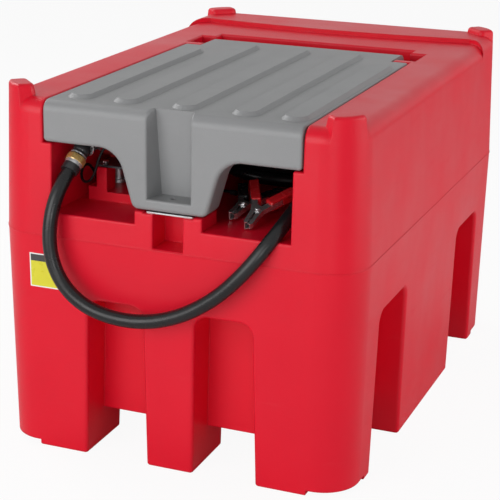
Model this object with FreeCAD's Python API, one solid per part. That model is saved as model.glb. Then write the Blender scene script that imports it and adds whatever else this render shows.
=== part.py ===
import FreeCAD, Part
import math
import os

from FreeCAD import Vector, Rotation, Placement

# Portable diesel tank with a pump bay under a hinged lid
# Millimetres, +Z up, origin on the floor under the middle, front towards -Y

# Driving dimensions of the moulded tank
tank_width = 800.0
tank_length = 1160.0
parting_height = 482.0
rim_height = 766.0
rear_step_height = 11.0
post_rise = 24.0
plan_corner_radius = 88.0
wall = 6.0
foot_inset = 8.0
rim_inset = 9.0
parting_ridge_height = 3.0
parting_ridge_proud = 0.8
rim_edge_radius = 30.0

# Fork tunnels and the tall slots above them
slot_side_inner_foot = 53.0
slot_side_outer_foot = 193.0
slot_side_inner_top = 58.0
slot_side_outer_top = 183.0
slot_flank_margin = 162.0
slot_flank_width = 210.0
slot_flank_inner_lean = 5.0
slot_flank_outer_lean = 12.0
slot_height = 354.0
slot_depth = 85.0
slot_corner_radius = 28.0
tunnel_height = 80.0
foot_relief_height = 13.0
foot_relief_margin_x = 95.0
foot_relief_margin_y = 124.0

# Rear platform and stacking posts
rear_step_middle_y = 412.0
rear_step_end_y = 440.0
rear_step_side_y = 325.0
rear_step_turn_x = 345.0
post_radial_size = 44.0
post_tangent_size = 66.0
post_foot_spread = 10.0
post_corner_radius = 13.0
post_top_radius = 8.0

# Pump bay and the seat of the lid
bay_half_width = 261.0
bay_depth = 233.0
bay_back_y = 112.0
seat_half_width = 281.0
seat_drop = 88.0
seat_back_y = 136.0
hump_half_width = 74.0
hump_rise = 27.0
hump_depth = 80.0
hasp_notch_half_width = 55.0
hasp_notch_drop = 3.0
lock_pocket_half_width = 33.0
lock_pocket_drop = 74.0
lock_pocket_depth = 62.0
plinth_left_x = -240.0
plinth_right_x = -20.0
plinth_setback = 125.0
plinth_length = 155.0
plinth_rise = 20.0
shoulder_width = 20.0
shoulder_rise = 29.0
post_width = 24.0
front_post_depth = 40.0
rear_post_depth = 25.0
pillar_rise = 72.0
well_half_width = 287.0
well_drop = 76.0
well_back_y = 253.0
channel_back_y = 290.0
channel_drop = 28.0
channel_half_width = 250.0

# Lid, hinged at the rear on two pins
lid_side_gap = 2.5
lid_rest_gap = 2.0
lid_tongue_half_width = 238.0
lid_front_setback = 6.0
lid_wall = 6.0
lid_shoulder_gap = 6.0
lid_front_edge_radius = 22.0
lid_outline_radius = 5.0
lid_flap_depth = 60.0
lid_flap_clearance = 2.0
lid_tongue_low_half_width = 81.0
lid_tongue_top_half_width = 115.0
lid_arch_radius = 54.0
lid_tongue_corner_radius = 18.0
lid_seal_lip = 16.0
lid_pocket_rise = 26.0
lid_pocket_front_half_width = 48.0
lid_pocket_rear_half_width = 37.0
lid_pocket_top_depth = 29.0
lid_pocket_floor_depth = 50.0
lid_band_height = 8.0
lid_band_foot_half = 31.0
lid_band_slope = 9.0
lid_band_setback = 38.0
lid_band_rear_inner_y = 165.0
lid_band_rear_outer_y = 66.0
lid_band_offset = 10.0
lid_band_spacing_inner = 129.0
lid_band_spacing_outer = 232.0
hinge_y = 215.0
hinge_nose_radius = 30.0
hinge_pin_radius = 6.0
hinge_pin_clearance = 0.08
hinge_pin_engagement = 12.0
hinge_boss_length = 30.0
lock_hole_radius = 5.5
lock_hole_setback = 25.0

# Hasp plate in the notch of the hump
hasp_half_width = 52.0
hasp_depth = 50.0
hasp_thickness = 3.0
hasp_screw_radius = 2.5
hasp_screw_x = 42.0

# Pump on four moulded posts
left_post_x = -220.5
right_post_x = -62.0
pump_plate_thickness = 4.0
pump_plate_left_x = -226.0
pump_plate_right_x = -33.0
pump_plate_setback = 5.0
pump_plate_depth = 148.0
pump_plate_notch_half = 22.0
pump_axis_setback = 95.0
pump_axis_rise = 127.0
pump_head_radius = 50.0
pump_head_left_x = -254.0
pump_head_right_x = -198.0
motor_radius = 43.0
motor_right_x = -46.0
motor_cap_length = 14.0
outlet_pipe_radius = 13.0
outlet_ring_reach = 37.0
outlet_ring_radius = 20.0
outlet_ring_length = 7.0
suction_x = -216.0
suction_radius = 13.0
suction_flange_radius = 22.0
suction_flange_thickness = 6.0
suction_screw_radius = 3.0
suction_screw_circle = 17.5
strainer_floor_gap = 12.0
strainer_radius = 22.0
strainer_height = 46.0
switch_box_x = -118.0
switch_box_size = 56.0
switch_box_height = 30.0

# Filler neck and its vented cap
filler_x = 120.0
filler_y = -20.0
filler_bore_radius = 30.0
filler_wall = 4.0
filler_neck_height = 34.0
filler_flange_radius = 48.0
filler_flange_thickness = 5.0
filler_cap_radius = 44.0
filler_cap_height = 22.0

# Rounding of the outward corners of the moulding
mouth_edge_radius = 8.0
foot_edge_radius = 6.0
rim_corner_radius = 5.0
mouth_corner_radius = 4.0
hump_corner_radius = 2.0
seat_corner_radius = 3.0
sharp_corner_angle = 15.0
bay_edge_region = 10.0
lid_side_edge_radius = 5.0
lid_low_corner_radius = 9.0

# Reach of the cutting shapes beyond the faces they open
outside_margin = 30.0
below_floor = -20.0

# Fittings at the hose's first end
hose_fit_gap = 0.3
elbow_reach = 38.0
elbow_radius = 17.0
elbow_ball_radius = 19.0
elbow_arm = 15.0
coupling_across = 38.0
ferrule_radius = 18.5
ferrule_cover = 18.0
ferrule_back = 5.0

# Dispensing nozzle, lying on the bay floor beside the coil
nozzle_length = 190.0
nozzle_barrel_radius = 16.0
nozzle_spout_radius = 9.5
nozzle_spout_wall = 1.5
nozzle_guard_reach = 62.0
nozzle_guard_width = 14.0
nozzle_guard_thickness = 5.0
trigger_pin_radius = 3.0
trigger_running_gap = 0.06

# Small pieces of the pump
bolt_head_across = 13.0
bolt_head_height = 6.0
cover_screw_radius = 4.0
cover_screw_circle = 38.0
cradle_thickness = 22.0
rocker_length = 20.0
rocker_width = 12.0
rocker_proud = 4.0
rocker_gap = 0.3
gland_radius = 7.0

# Fit of the filler cap on its neck
cap_thread_gap = 0.08

# Spring clamps on the battery leads, each lying in its own tilted plane
clamp_spread = 27.0
clamp_arm_half = 8.5
clamp_sheet = 2.0
clamp_nest_gap = 0.5
clamp_rivet_radius = 4.0
clamp_run_gap = 0.06
clamp_grip_half = 11.1
clamp_grip_gap = 0.3
red_clamp_pivot = (153.2, -478.8, 560.2)
red_clamp_axis = (0.026, 0.950, 0.312)
red_clamp_lateral = (0.995, 0.0, -0.100)
black_clamp_pivot = (101.7, -426.3, 551.0)
black_clamp_axis = (0.069, 0.988, 0.139)
black_clamp_lateral = (0.998, -0.070, 0.0)

# Plain sticker on the front
sticker_left_x = -315.0
sticker_right_x = -248.0
sticker_low = 367.0
sticker_high = 441.0
sticker_thickness = 0.4

# Coils of the hose and of the power cable
hose_radius = 15.0
cable_radius = 3.0
lead_radius = 2.5
hose_coil_centre = (76.0, -66.0)
hose_coil_radius = 160.0
hose_coil_layers = 3
cable_coil_centre = (-130.0, -240.0)
cable_coil_radius = 33.0
cable_coil_rows = 3
cable_coil_layers = 4

# Places that follow the front face and the height of the rim
front_y = -tank_length / 2
post_height = rim_height + post_rise
bay_floor_height = rim_height - bay_depth
seat_height = rim_height - seat_drop
well_floor_height = rim_height - well_drop
channel_floor_height = rim_height - channel_drop
hump_top_height = bay_floor_height + hump_rise
hasp_notch_height = hump_top_height - hasp_notch_drop
lock_pocket_floor_height = hump_top_height - lock_pocket_drop
lid_pocket_floor_height = hump_top_height + lid_pocket_rise
plinth_height = bay_floor_height + plinth_rise
shoulder_height = bay_floor_height + shoulder_rise
pillar_height = bay_floor_height + pillar_rise
pump_axis_height = bay_floor_height + pump_axis_rise
hump_back_y = front_y + hump_depth
plinth_front_y = front_y + plinth_setback
plinth_back_y = plinth_front_y + plinth_length
post_rows = [(plinth_front_y, plinth_front_y + front_post_depth), (plinth_back_y - rear_post_depth, plinth_back_y)]
pump_plate_front_y = plinth_front_y + pump_plate_setback
pump_plate_back_y = pump_plate_front_y + pump_plate_depth
pump_axis_y = plinth_front_y + pump_axis_setback
outlet_ring_y = plinth_front_y - outlet_ring_reach
lid_front_y = front_y + lid_front_setback
lid_band_front_y = lid_front_y + lid_band_setback
lock_hole_y = lid_front_y + lock_hole_setback
slot_flank_outer_foot = tank_length / 2 - slot_flank_margin
slot_flank_outer_top = slot_flank_outer_foot - slot_flank_outer_lean
slot_flank_inner_foot = slot_flank_outer_foot - slot_flank_width
slot_flank_inner_top = slot_flank_inner_foot + slot_flank_inner_lean
foot_relief_x = tank_width / 2 - foot_relief_margin_x
foot_relief_y = tank_length / 2 - foot_relief_margin_y
lid_half_width = seat_half_width - lid_side_gap
lid_shoulder_y = seat_back_y - lid_shoulder_gap
lid_skirt_height = seat_height + lid_rest_gap
hinge_height = rim_height - hinge_nose_radius
hasp_top = hasp_notch_height + hasp_thickness
lid_flap_low = hasp_top + lid_flap_clearance

EPS = 0.01


def box(x0, x1, y0, y1, z0, z1):
    return Part.makeBox(x1 - x0, y1 - y0, z1 - z0, Vector(x0, y0, z0))


def cyl(radius, length, base, direction):
    return Part.makeCylinder(radius, length, Vector(*base), Vector(*direction))


def rounded_wire(half_x, half_y, radius, z):
    arcs = []
    corners = [(1, 1, 0), (-1, 1, 90), (-1, -1, 180), (1, -1, 270)]
    for sx, sy, start in corners:
        centre = Vector(sx * (half_x - radius), sy * (half_y - radius), z)
        circle = Part.Circle(centre, Vector(0, 0, 1), radius)
        arcs.append(Part.ArcOfCircle(circle, math.radians(start), math.radians(start + 90)).toShape())
    edges = []
    for i, arc in enumerate(arcs):
        following = arcs[(i + 1) % 4]
        edges.append(arc)
        edges.append(Part.makeLine(arc.lastVertex().Point, following.firstVertex().Point))
    return Part.Wire(Part.__sortEdges__(edges))


def plan_inset(z):
    if z <= parting_height:
        return foot_inset * (parting_height - z) / parting_height
    return rim_inset * (z - parting_height) / (rim_height - parting_height)


def block(z_low, z_high, grow):
    levels = [z_low, parting_height, z_high] if z_low < parting_height else [z_low, z_high]
    wires = []
    for z in levels:
        inset = plan_inset(z) + grow
        wires.append(rounded_wire(tank_width / 2 - inset, tank_length / 2 - inset, plan_corner_radius - inset, z))
    return Part.makeLoft(wires, True, True)


def edges_at_height(shape, z):
    found = []
    for edge in shape.Edges:
        bounds = edge.BoundBox
        if abs(bounds.ZMin - z) < EPS and abs(bounds.ZMax - z) < EPS:
            found.append(edge)
    return found


def prism(points, direction):
    wire = Part.makePolygon([Vector(*p) for p in points] + [Vector(*points[0])])
    return Part.Face(wire).extrude(Vector(*direction))


def upright_edges(shape, axis, radius, at_top=None):
    chosen = []
    for edge in shape.Edges:
        if len(edge.Vertexes) != 2:
            continue
        a = edge.Vertexes[0].Point
        b = edge.Vertexes[1].Point
        run = b - a
        if run.Length < EPS:
            continue
        if abs(abs(run.normalize().dot(Vector(*axis))) - 1) > 0.02:
            continue
        if at_top is not None and max(a.z, b.z) < at_top:
            continue
        chosen.append(edge)
    return shape.makeFillet(radius, chosen)


def rear_platform_region(z_low, z_high, grow):
    side = tank_width
    back = tank_length
    ends = rear_step_turn_x
    left = Vector(-ends, rear_step_end_y + grow, z_low)
    middle = Vector(0, rear_step_middle_y + grow, z_low)
    right = Vector(ends, rear_step_end_y + grow, z_low)
    tip = tank_width / 2 + 10
    right_turn = Vector(ends + 30, rear_step_end_y - 22 + grow, z_low)
    right_tip = Vector(tip, rear_step_side_y + grow, z_low)
    left_turn = Vector(-ends - 30, rear_step_end_y - 22 + grow, z_low)
    left_tip = Vector(-tip, rear_step_side_y + grow, z_low)
    edges = [
        Part.Arc(left, middle, right).toShape(),
        Part.Arc(right, right_turn, right_tip).toShape(),
        Part.makeLine(right_tip, Vector(side, rear_step_side_y + grow, z_low)),
        Part.makeLine(Vector(side, rear_step_side_y + grow, z_low), Vector(side, back, z_low)),
        Part.makeLine(Vector(side, back, z_low), Vector(-side, back, z_low)),
        Part.makeLine(Vector(-side, back, z_low), Vector(-side, rear_step_side_y + grow, z_low)),
        Part.makeLine(Vector(-side, rear_step_side_y + grow, z_low), left_tip),
        Part.Arc(left_tip, left_turn, left).toShape(),
    ]
    wire = Part.Wire(Part.__sortEdges__(edges))
    return Part.Face(wire).extrude(Vector(0, 0, z_high - z_low))


def post_region(sx, sy, grow):
    arc_radius = plan_corner_radius - rim_inset
    reach = arc_radius - post_radial_size / 2
    centre_x = tank_width / 2 - rim_inset - arc_radius + reach * math.cos(math.radians(45))
    centre_y = tank_length / 2 - rim_inset - arc_radius + reach * math.sin(math.radians(45))
    wires = []
    depth = post_height - rim_height + rim_edge_radius + 12
    for z, spread in [(post_height - depth, post_foot_spread), (post_height, 0)]:
        radial = post_radial_size / 2 + spread - grow
        tangent = post_tangent_size / 2 + spread - grow
        wires.append(rounded_wire(radial + 12, tangent, post_corner_radius, z))
    column = Part.makeLoft(wires, True, True)
    column.translate(Vector(12, 0, 0))
    column.rotate(Vector(0, 0, 0), Vector(0, 0, 1), math.degrees(math.atan2(sy, sx)))
    column.translate(Vector(sx * centre_x, sy * centre_y, 0))
    return column


def outer_form(grow):
    main = block(0 + grow, rim_height - grow, grow)
    radius = rim_edge_radius - grow
    main = main.makeFillet(radius, edges_at_height(main, rim_height - grow))
    rear = block(parting_height + 100, rim_height + rear_step_height - grow, grow)
    rear = rear.makeFillet(radius, edges_at_height(rear, rim_height + rear_step_height - grow))
    region = rear_platform_region(rim_height - 60, rim_height + 60, grow)
    rear = rear.common(region)
    form = main.fuse(rear)
    tall = block(parting_height + 100, post_height - grow, grow)
    for sx in (-1, 1):
        for sy in (-1, 1):
            post = tall.common(post_region(sx, sy, grow))
            post = post.makeFillet(post_top_radius - grow / 2, edges_at_height(post, post_height - grow))
            form = form.fuse(post)
    return form.removeSplitter()


def tapered_prism(inner_foot, outer_foot, inner_top, outer_top, grow, top, y_start, y_end):
    slope_in = (inner_top - inner_foot) / slot_height
    slope_out = (outer_foot - outer_top) / slot_height
    points = [
        (inner_foot + slope_in * below_floor - grow, y_start, below_floor),
        (outer_foot - slope_out * below_floor + grow, y_start, below_floor),
        (outer_foot - slope_out * top + grow, y_start, top),
        (inner_foot + slope_in * top - grow, y_start, top),
    ]
    return prism(points, (0, y_end - y_start, 0))


def arch_window(inner_foot, outer_foot, inner_top, outer_top, grow):
    top = slot_height + grow
    depth = slot_depth + grow + outside_margin
    body = tapered_prism(inner_foot, outer_foot, inner_top, outer_top, grow, top, 0, depth)
    return upright_edges_top(body, (0, 1, 0), slot_corner_radius + grow, top)


def tunnel(inner_foot, outer_foot, inner_top, outer_top, grow):
    top = tunnel_height + grow
    return tapered_prism(inner_foot, outer_foot, inner_top, outer_top, grow, top, -tank_length, tank_length)


def upright_edges_top(shape, axis, radius, top):
    chosen = []
    for edge in shape.Edges:
        a = edge.Vertexes[0].Point
        b = edge.Vertexes[-1].Point
        run = b - a
        if run.Length < EPS or abs(abs(run.normalize().dot(Vector(*axis))) - 1) > 0.02:
            continue
        if min(a.z, b.z) > top - 1:
            chosen.append(edge)
    return shape.makeFillet(radius, chosen)


def fork_cutters(grow):
    cutters = []
    front = arch_window(slot_side_inner_foot, slot_side_outer_foot, slot_side_inner_top, slot_side_outer_top, grow)
    front.translate(Vector(0, -tank_length / 2 - outside_margin, 0))
    for turn in (0, 180):
        for mirrored in (False, True):
            tool = front.mirror(Vector(0, 0, 0), Vector(1, 0, 0)) if mirrored else front.copy()
            tool.rotate(Vector(0, 0, 0), Vector(0, 0, 1), turn)
            cutters.append(tool)
    flank = arch_window(slot_flank_inner_foot, slot_flank_outer_foot, slot_flank_inner_top, slot_flank_outer_top, grow)
    flank.translate(Vector(0, -tank_width / 2 - outside_margin, 0))
    for turn in (90, 270):
        for mirrored in (False, True):
            tool = flank.mirror(Vector(0, 0, 0), Vector(1, 0, 0)) if mirrored else flank.copy()
            tool.rotate(Vector(0, 0, 0), Vector(0, 0, 1), turn)
            cutters.append(tool)
    along = tunnel(slot_side_inner_foot, slot_side_outer_foot, slot_side_inner_top, slot_side_outer_top, grow)
    across = tunnel(slot_flank_inner_foot, slot_flank_outer_foot, slot_flank_inner_top, slot_flank_outer_top, grow)
    across.rotate(Vector(0, 0, 0), Vector(0, 0, 1), 90)
    cutters += [along, along.mirror(Vector(0, 0, 0), Vector(1, 0, 0))]
    cutters += [across, across.mirror(Vector(0, 0, 0), Vector(0, 1, 0))]
    for sx in (-1, 1):
        for sy in (-1, 1):
            x0, x1 = sorted((sx * (foot_relief_x - grow), sx * tank_width))
            y0, y1 = sorted((sy * (foot_relief_y - grow), sy * tank_length))
            cutters.append(box(x0, x1, y0, y1, below_floor, foot_relief_height + grow))
    return cutters


def bay_cutter(grow):
    front = -tank_length
    high = rim_height + 60
    lower = box(-bay_half_width - grow, bay_half_width + grow, front, bay_back_y + grow, bay_floor_height - grow, high)
    lower = upright_edges(lower, (0, 0, 1), 24 + grow)
    seat = box(-seat_half_width - grow, seat_half_width + grow, front, seat_back_y + grow, seat_height - grow, high)
    well = box(-well_half_width - grow, well_half_width + grow, seat_back_y + 24 - grow, well_back_y + grow,
               well_floor_height - grow, high)
    neck_half = lid_tongue_half_width + lid_side_gap
    neck = box(-neck_half - grow, neck_half + grow, seat_back_y - 20, well_back_y + grow, well_floor_height - grow, high)
    channel = box(-channel_half_width - grow, channel_half_width + grow, well_back_y - 20, channel_back_y + grow,
                  channel_floor_height - grow, high)
    cutter = lower.fuse([seat, well, neck, channel])
    plinth = box(plinth_left_x + grow, plinth_right_x - grow, plinth_front_y + grow, plinth_back_y - grow,
                 bay_floor_height - 30, plinth_height - grow)
    shoulder = box(plinth_left_x + grow, plinth_left_x + shoulder_width - grow, plinth_front_y + grow,
                   plinth_front_y + front_post_depth - grow, bay_floor_height - 30, shoulder_height - grow)
    posts = [shoulder]
    for x0 in (left_post_x, right_post_x):
        for y0, y1 in post_rows:
            posts.append(box(x0 + grow, x0 + post_width - grow, y0 + grow, y1 - grow, bay_floor_height - 30,
                             pillar_height - grow))
    hump = box(-hump_half_width + grow, hump_half_width - grow, front, hump_back_y - grow, bay_floor_height - 30,
               hump_top_height - grow)
    cutter = cutter.cut([plinth, hump] + posts)
    notch = box(-hasp_notch_half_width - grow, hasp_notch_half_width + grow, front, hump_back_y + grow + 1,
                hasp_notch_height - grow, high)
    pocket = box(-lock_pocket_half_width - grow, lock_pocket_half_width + grow, front,
                 -tank_length / 2 + lock_pocket_depth + grow, lock_pocket_floor_height - grow, high)
    return cutter.fuse([notch, pocket])


def is_outward_corner(shape, edge):
    faces = shape.ancestorsOfType(edge, Part.Face)
    if len(faces) != 2:
        return False
    middle = (edge.FirstParameter + edge.LastParameter) / 2
    point = edge.valueAt(middle)
    normals = [face.normalAt(*face.Surface.parameter(point)) for face in faces]
    if math.degrees(normals[0].getAngle(normals[1])) < sharp_corner_angle:
        return False
    own = [e for e in faces[0].Edges if e.isSame(edge)][0]
    side = normals[0].cross(normals[1]).dot(edge.tangentAt(middle))
    return side > 0 if own.Orientation == "Forward" else side < 0


def round_corners(shape, regions, radius):
    chosen = []
    for edge in shape.Edges:
        inside_one = any(region.isInside(edge.BoundBox) for region in regions)
        if edge.Vertexes and inside_one and is_outward_corner(shape, edge):
            chosen.append(edge)
    return shape.makeFillet(radius, chosen)


def region(x0, x1, y0, y1, z0, z1):
    low = (min(x0, x1), min(y0, y1), min(z0, z1))
    high = (max(x0, x1), max(y0, y1), max(z0, z1))
    return FreeCAD.BoundBox(*low, *high)


def rounded_feet(shape):
    far = tank_length
    skin = foot_inset + 2 * EPS
    front = tank_length / 2 - skin
    flank = tank_width / 2 - skin
    across = slot_side_outer_foot + EPS
    along = slot_flank_outer_foot + EPS
    top = slot_height + EPS
    mouths = [region(-across, across, -far, -front, EPS, top), region(-across, across, front, far, EPS, top),
              region(-far, -flank, -along, along, EPS, top), region(flank, far, -along, along, EPS, top)]
    shape = round_corners(shape, mouths, mouth_edge_radius)
    return round_corners(shape, [region(-far, far, -far, far, -EPS, EPS)], foot_edge_radius)


def rounded_bay(shape):
    far = tank_length
    mouth_y = -tank_length / 2 + rim_inset + EPS
    wide = seat_half_width + bay_edge_region
    low = lock_pocket_floor_height - bay_edge_region
    rim = [region(-far, far, -far, far, rim_height - EPS, rim_height + EPS)]
    shape = round_corners(shape, rim, rim_corner_radius)
    shape = round_corners(shape, [region(-wide, wide, -far, mouth_y, low, rim_height)], mouth_corner_radius)
    hump = hump_half_width + bay_edge_region
    top = hump_top_height + EPS
    shape = round_corners(shape, [region(-hump, hump, -far, hump_back_y + EPS, low, top)], hump_corner_radius)
    seat = [region(-far, far, -far, far, seat_height - EPS, seat_height + EPS)]
    return round_corners(shape, seat, seat_corner_radius)


def tank_shape():
    outside = rounded_feet(outer_form(0).cut(fork_cutters(0)))
    outside = rounded_bay(outside.cut(bay_cutter(0)))
    outside = outside.fuse(parting_ring())
    inside = outer_form(wall)
    inside = inside.cut(fork_cutters(wall))
    inside = inside.cut(bay_cutter(wall))
    return outside, inside


def parting_ring():
    half = parting_ridge_height / 2
    reach = parting_ridge_proud
    wire = rounded_wire(tank_width / 2 + reach, tank_length / 2 + reach, plan_corner_radius + reach,
                        parting_height - half)
    return Part.Face(wire).extrude(Vector(0, 0, parting_ridge_height))


def flap_profile(grow):
    half = lid_half_width - grow
    high = rim_height - grow
    skirt = lid_skirt_height + grow
    low = lid_flap_low + grow
    wide = lid_tongue_top_half_width - grow * 1.2
    narrow = lid_tongue_low_half_width - grow * 1.2
    y = lid_front_y + grow
    points = [(-half, y, high), (-half, y, skirt), (-wide, y, skirt), (-narrow, y, low),
              (narrow, y, low), (wide, y, skirt), (half, y, skirt), (half, y, high)]
    depth = lid_flap_depth if grow == 0 else lid_flap_depth + 20
    flap = prism(points, (0, depth, 0))
    corner = []
    for edge in flap.Edges:
        a = edge.Vertexes[0].Point
        b = edge.Vertexes[1].Point
        if abs(a.x - b.x) < EPS and abs(a.z - b.z) < EPS and abs(abs(a.x) - narrow) < EPS:
            corner.append(edge)
    flap = flap.makeFillet(lid_tongue_corner_radius - grow, corner)
    arch = []
    for edge in flap.Edges:
        if len(edge.Vertexes) != 2:
            continue
        a = edge.Vertexes[0].Point
        b = edge.Vertexes[1].Point
        if abs(a.x - b.x) < EPS and abs(a.z - b.z) < EPS and abs(abs(a.x) - wide) < EPS:
            arch.append(edge)
    return flap.makeFillet(lid_arch_radius + grow, arch)


def inner_flap_profile():
    flap = flap_profile(lid_wall)
    half = lid_half_width - lid_wall
    flap = flap.makeFillet(lid_low_corner_radius - lid_wall, long_edges(flap, half, lid_skirt_height + lid_wall))
    radius = lid_front_edge_radius - lid_wall
    return flap.makeFillet(radius, front_edge(flap, lid_front_y + lid_wall, rim_height - lid_wall))


def long_edges(shape, half, z):
    chosen = []
    for edge in shape.Edges:
        bounds = edge.BoundBox
        if bounds.XLength < EPS and bounds.ZLength < EPS and abs(bounds.ZMin - z) < EPS:
            if abs(abs(bounds.XMin) - half) < EPS:
                chosen.append(edge)
    return chosen


def front_edge(shape, y, z):
    chosen = []
    for edge in shape.Edges:
        bounds = edge.BoundBox
        if bounds.YLength < EPS and abs(bounds.YMin - y) < EPS and bounds.ZMin > z - EPS:
            chosen.append(edge)
    return chosen


def pocket_cutter(grow):
    levels = []
    floor = lid_pocket_floor_height - grow
    front = lid_front_y - 40
    for z, depth in [(floor, lid_pocket_floor_depth + grow), (rim_height + 30, lid_pocket_top_depth + grow)]:
        back = lid_front_y + depth
        taper = (lid_pocket_front_half_width - lid_pocket_rear_half_width) / lid_pocket_floor_depth
        wide_front = lid_pocket_front_half_width + grow + 40 * taper
        wide_back = lid_pocket_front_half_width + grow - depth * taper
        corners = [Vector(-wide_front, front, z), Vector(wide_front, front, z), Vector(wide_back, back, z),
                   Vector(-wide_back, back, z), Vector(-wide_front, front, z)]
        levels.append(Part.makePolygon(corners))
    return Part.makeLoft(levels, True, True)


def lid_side_edges(body):
    chosen = []
    for edge in body.Edges:
        bounds = edge.BoundBox
        on_top = abs(bounds.ZMin - rim_height) < EPS and bounds.ZLength < EPS
        if on_top and bounds.XLength < EPS and abs(abs(bounds.XMin) - lid_half_width) < EPS:
            chosen.append(edge)
    return chosen


def lid_shape():
    half = lid_half_width
    slab = box(-half, half, lid_front_y, lid_shoulder_y, lid_skirt_height, rim_height)
    tongue = box(-lid_tongue_half_width, lid_tongue_half_width, lid_shoulder_y - 10, hinge_y,
                 hinge_height, rim_height)
    nose = cyl(hinge_nose_radius, 2 * lid_tongue_half_width, (-lid_tongue_half_width, hinge_y, hinge_height), (1, 0, 0))
    body = slab.fuse([flap_profile(0), tongue, nose]).removeSplitter()
    body = body.makeFillet(lid_front_edge_radius, front_edge(body, lid_front_y, rim_height))
    body = body.makeFillet(lid_side_edge_radius, lid_side_edges(body))
    body = body.makeFillet(lid_low_corner_radius, long_edges(body, half, lid_skirt_height))
    pads = []
    rows = [(-lid_band_spacing_outer, lid_band_rear_outer_y), (-lid_band_spacing_inner, lid_band_rear_inner_y),
            (0.0, lid_band_rear_inner_y), (lid_band_spacing_inner, lid_band_rear_inner_y),
            (lid_band_spacing_outer, lid_band_rear_outer_y)]
    for x, rear in rows:
        length = rear - lid_band_front_y
        low = rounded_wire(lid_band_foot_half, length / 2, lid_band_foot_half - 1, rim_height - 1)
        top_half = lid_band_foot_half - lid_band_slope
        high = rounded_wire(top_half, length / 2 - lid_band_slope, top_half - 1, rim_height + lid_band_height)
        pad = Part.makeLoft([low, high], True, True)
        pad.translate(Vector(x + lid_band_offset, (rear + lid_band_front_y) / 2, 0))
        pads.append(pad)
    body = body.fuse(pads)
    body = body.cut(pocket_cutter(0))
    body = round_lid_edges(body)
    lip = lid_seal_lip
    hollow = box(-half + lip, half - lip, lid_front_y + lid_wall, lid_shoulder_y - lid_wall,
                 lid_skirt_height - 5, rim_height - lid_wall)
    hollow = hollow.makeFillet(lid_front_edge_radius - lid_wall,
                               front_edge(hollow, lid_front_y + lid_wall, rim_height - lid_wall))
    tail = box(-lid_tongue_half_width + hinge_boss_length, lid_tongue_half_width - hinge_boss_length,
               lid_shoulder_y - 30, hinge_y - 12, hinge_height - 60, rim_height - lid_wall)
    hollow = hollow.fuse([inner_flap_profile(), tail]).cut(pocket_cutter(lid_wall))
    body = body.cut(hollow)
    pin_length = hinge_boss_length + 20
    for side in (-1, 1):
        start = side * (lid_tongue_half_width - hinge_boss_length)
        body = body.cut(cyl(hinge_pin_radius, pin_length, (start, hinge_y, hinge_height), (side, 0, 0)))
    body = body.cut(cyl(lock_hole_radius, 60, (0, lock_hole_y, lid_flap_low - 10), (0, 0, 1)))
    return body


def round_lid_edges(body):
    chosen = []
    for edge in body.Edges:
        bounds = edge.BoundBox
        on_front = abs(bounds.YMin - lid_front_y) < EPS and bounds.YLength < EPS
        if on_front:
            chosen.append(edge)
    return body.makeFillet(lid_outline_radius, chosen)


# Cord routes, chosen point by point along the hose and the cables
hose_points = [
    (-229.0, -541.0, 630.0), (-235.0, -567.0, 606.0), (-242.0, -591.0, 575.0), (-247.0, -606.0, 537.0),
    (-249.0, -613.0, 494.0), (-243.0, -617.0, 451.0), (-226.0, -619.0, 411.0), (-198.0, -620.0, 378.0),
    (-161.0, -620.0, 355.0), (-117.0, -620.0, 343.0), (-66.0, -619.0, 339.0), (-12.0, -618.0, 346.0),
    (40.0, -617.0, 364.0), (88.0, -615.0, 391.0), (131.0, -613.0, 424.0), (168.0, -609.0, 462.0),
    (198.0, -600.0, 500.0), (221.0, -581.0, 535.0), (235.0, -549.0, 561.0), (240.0, -506.0, 579.0),
    (242.0, -452.0, 590.0), (241.0, -392.0, 598.0), (239.0, -328.0, 604.0), (237.0, -266.0, 608.0),
    (236.0, -206.0, 608.5),
]
hose_tail_points = [
    (76.0, 94.0, 548.0), (28.0, 95.0, 548.0), (-22.0, 94.0, 548.3), (-72.0, 91.0, 549.2), (-119.0, 78.0, 550.2),
    (-158.0, 52.0, 551.0), (-187.0, 17.0, 551.6), (-206.0, -24.0, 551.8), (-213.0, -62.0, 551.8),
    (-213.0, -98.0, 551.8),
]
cable_points = [
    (-118.0, -406.0, 722.0), (-118.0, -423.0, 722.0), (-126.0, -441.0, 717.0), (-142.0, -457.0, 706.0),
    (-163.0, -470.0, 688.0), (-183.0, -477.0, 665.0), (-199.0, -480.0, 638.0), (-207.0, -481.0, 612.0),
    (-213.0, -481.0, 594.0), (-224.0, -481.0, 579.0), (-240.0, -478.0, 576.0), (-250.0, -469.0, 588.0),
    (-252.0, -456.0, 601.0), (-251.0, -441.0, 605.0), (-250.5, -424.0, 598.0), (-250.5, -409.0, 581.0),
    (-250.5, -395.0, 561.0), (-250.5, -379.0, 545.0), (-250.5, -358.0, 537.5), (-250.5, -334.0, 536.2),
    (-250.5, -311.0, 536.2), (-247.0, -291.0, 536.2), (-235.0, -276.0, 536.2), (-216.0, -270.0, 536.2),
    (-190.0, -272.0, 536.2), (-160.0, -274.0, 536.2), (-131.0, -273.0, 536.2),
]
cable_tail_points = [
    (-130.0, -273.0, 554.0), (-108.0, -274.0, 550.0), (-83.0, -276.0, 543.0), (-56.0, -280.0, 538.0),
    (-28.0, -286.0, 537.0), (-2.0, -292.0, 537.5), (22.0, -299.0, 538.5),
]
red_lead_points = [
    (36.0, -300.2, 538.5), (50.0, -302.0, 541.0), (64.0, -305.0, 548.0), (77.0, -311.0, 558.0),
    (88.0, -321.0, 570.0), (97.0, -335.0, 581.0), (103.0, -351.0, 589.0), (107.0, -370.0, 594.0),
    (109.4, -393.6, 595.4),
]
black_lead_points = [
    (34.8, -305.4, 538.5), (43.0, -308.0, 540.0), (51.0, -312.0, 545.0), (57.0, -318.5, 552.0),
    (60.5, -326.0, 560.0), (62.0, -334.0, 566.0),
]


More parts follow.
